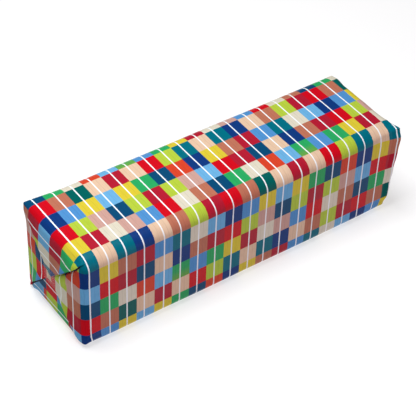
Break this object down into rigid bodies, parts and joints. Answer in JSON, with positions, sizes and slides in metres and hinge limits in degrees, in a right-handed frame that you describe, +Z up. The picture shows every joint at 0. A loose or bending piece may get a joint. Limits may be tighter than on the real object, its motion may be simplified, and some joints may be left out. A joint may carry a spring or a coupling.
{
  "type": "kaleidoscope",
  "caption": "Square wooden kaleidoscope with a turning object drum, gift wrapped in checked paper whose folded ends open.",
  "frame": {"origin": "middle of the flat face that the parcel rests on", "axes": "+X along the length from the eye end to the object end, -Y the front, +Z up"},
  "size_m": [0.22, 0.0642, 0.0651],
  "materials": {
    "wrapping_paper": "semi-gloss printed paper, a check of many colours with thin white lines",
    "clear_tape": "clear adhesive tape",
    "beech": "waxed beech",
    "cradle_board": "plain fibreboard",
    "walnut": "oiled walnut",
    "brass_fittings": "polished brass",
    "steel_screws": "zinc-plated steel",
    "optical_glass": "clear glass",
    "frosted_glass": "frosted glass",
    "mirror_glass": "front-silvered glass",
    "black_tape": "black vinyl tape",
    "drum_metal": "turned aluminium",
    "spacer_plastic": "white plastic",
    "red_glass": "cut glass",
    "blue_glass": "pressed glass",
    "green_glass": "tumbled glass",
    "amber_glass": "cut glass",
    "clear_glass": "drawn glass"
  },
  "bodies": {
    "casing": {"paper_sleeve": "wrapping_paper", "seam_tape": "clear_tape", "front_board": "beech", "back_board": "beech", "top_board": "beech", "bottom_board": "beech", "eye_end_plate": "beech", "object_end_plate": "beech", "eye_end_screws": "steel_screws", "object_end_screws": "steel_screws", "eyepiece_ring": "brass_fittings", "eye_lens": "optical_glass", "lens_retainer": "brass_fittings", "retainer_screws": "steel_screws", "left_mirror": "mirror_glass", "right_mirror": "mirror_glass", "lower_mirror": "mirror_glass", "eye_end_mirror_cradle": "cradle_board", "middle_mirror_cradle": "cradle_board", "object_end_mirror_cradle": "cradle_board", "mirror_bands": "black_tape", "bearing_plate": "beech", "object_window": "frosted_glass", "window_ring": "brass_fittings"},
    "drum": {"drum_shell": "drum_metal", "thumb_wheel": "walnut", "clear_disc": "optical_glass", "cell_spacer": "spacer_plastic", "frosted_disc": "frosted_glass", "drum_retaining_ring": "brass_fittings", "red_jewels": "red_glass", "blue_beads": "blue_glass", "green_chips": "green_glass", "amber_cubes": "amber_glass", "clear_rods": "clear_glass"},
    "near_top": {"near_top_flap": "wrapping_paper", "near_end_tape": "clear_tape"},
    "near_bottom": {"near_bottom_flap": "wrapping_paper"},
    "near_back": {"near_back_flap": "wrapping_paper"},
    "near_front": {"near_front_flap": "wrapping_paper"},
    "far_top": {"far_top_flap": "wrapping_paper", "far_end_tape": "clear_tape"},
    "far_bottom": {"far_bottom_flap": "wrapping_paper"},
    "far_back": {"far_back_flap": "wrapping_paper"},
    "far_front": {"far_front_flap": "wrapping_paper"}
  },
  "joints": [
    {"name": "drum_spin", "type": "hinge", "parent": "casing", "child": "drum", "pos_m": [0.0893, 0, 0.03255], "axis": [1, 0, 0], "continuous": true},
    {"name": "near_top_fold", "type": "hinge", "parent": "casing", "child": "near_top", "pos_m": [-0.10893, 0, 0.06403], "axis": [0, 1, 0], "range_deg": [0, 90]},
    {"name": "near_bottom_fold", "type": "hinge", "parent": "casing", "child": "near_bottom", "pos_m": [-0.10893, 0, 0.00107], "axis": [0, -1, 0], "range_deg": [0, 90]},
    {"name": "near_back_fold", "type": "hinge", "parent": "casing", "child": "near_back", "pos_m": [-0.10893, 0.03103, 0.03255], "axis": [0, 0, -1], "range_deg": [0, 90]},
    {"name": "near_front_fold", "type": "hinge", "parent": "casing", "child": "near_front", "pos_m": [-0.10893, -0.03103, 0.03255], "axis": [0, 0, 1], "range_deg": [0, 90]},
    {"name": "far_top_fold", "type": "hinge", "parent": "casing", "child": "far_top", "pos_m": [0.10893, 0, 0.06403], "axis": [0, -1, 0], "range_deg": [0, 90]},
    {"name": "far_bottom_fold", "type": "hinge", "parent": "casing", "child": "far_bottom", "pos_m": [0.10893, 0, 0.00107], "axis": [0, 1, 0], "range_deg": [0, 90]},
    {"name": "far_back_fold", "type": "hinge", "parent": "casing", "child": "far_back", "pos_m": [0.10893, 0.03103, 0.03255], "axis": [0, 0, 1], "range_deg": [0, 90]},
    {"name": "far_front_fold", "type": "hinge", "parent": "casing", "child": "far_front", "pos_m": [0.10893, -0.03103, 0.03255], "axis": [0, 0, -1], "range_deg": [0, 90]}
  ],
  "couplings": [
    {"joint": "near_bottom_fold", "follows": "near_top_fold", "ratio": 1},
    {"joint": "near_back_fold", "follows": "near_top_fold", "ratio": 1},
    {"joint": "near_front_fold", "follows": "near_top_fold", "ratio": 1},
    {"joint": "far_bottom_fold", "follows": "far_top_fold", "ratio": 1},
    {"joint": "far_back_fold", "follows": "far_top_fold", "ratio": 1},
    {"joint": "far_front_fold", "follows": "far_top_fold", "ratio": 1}
  ]
}
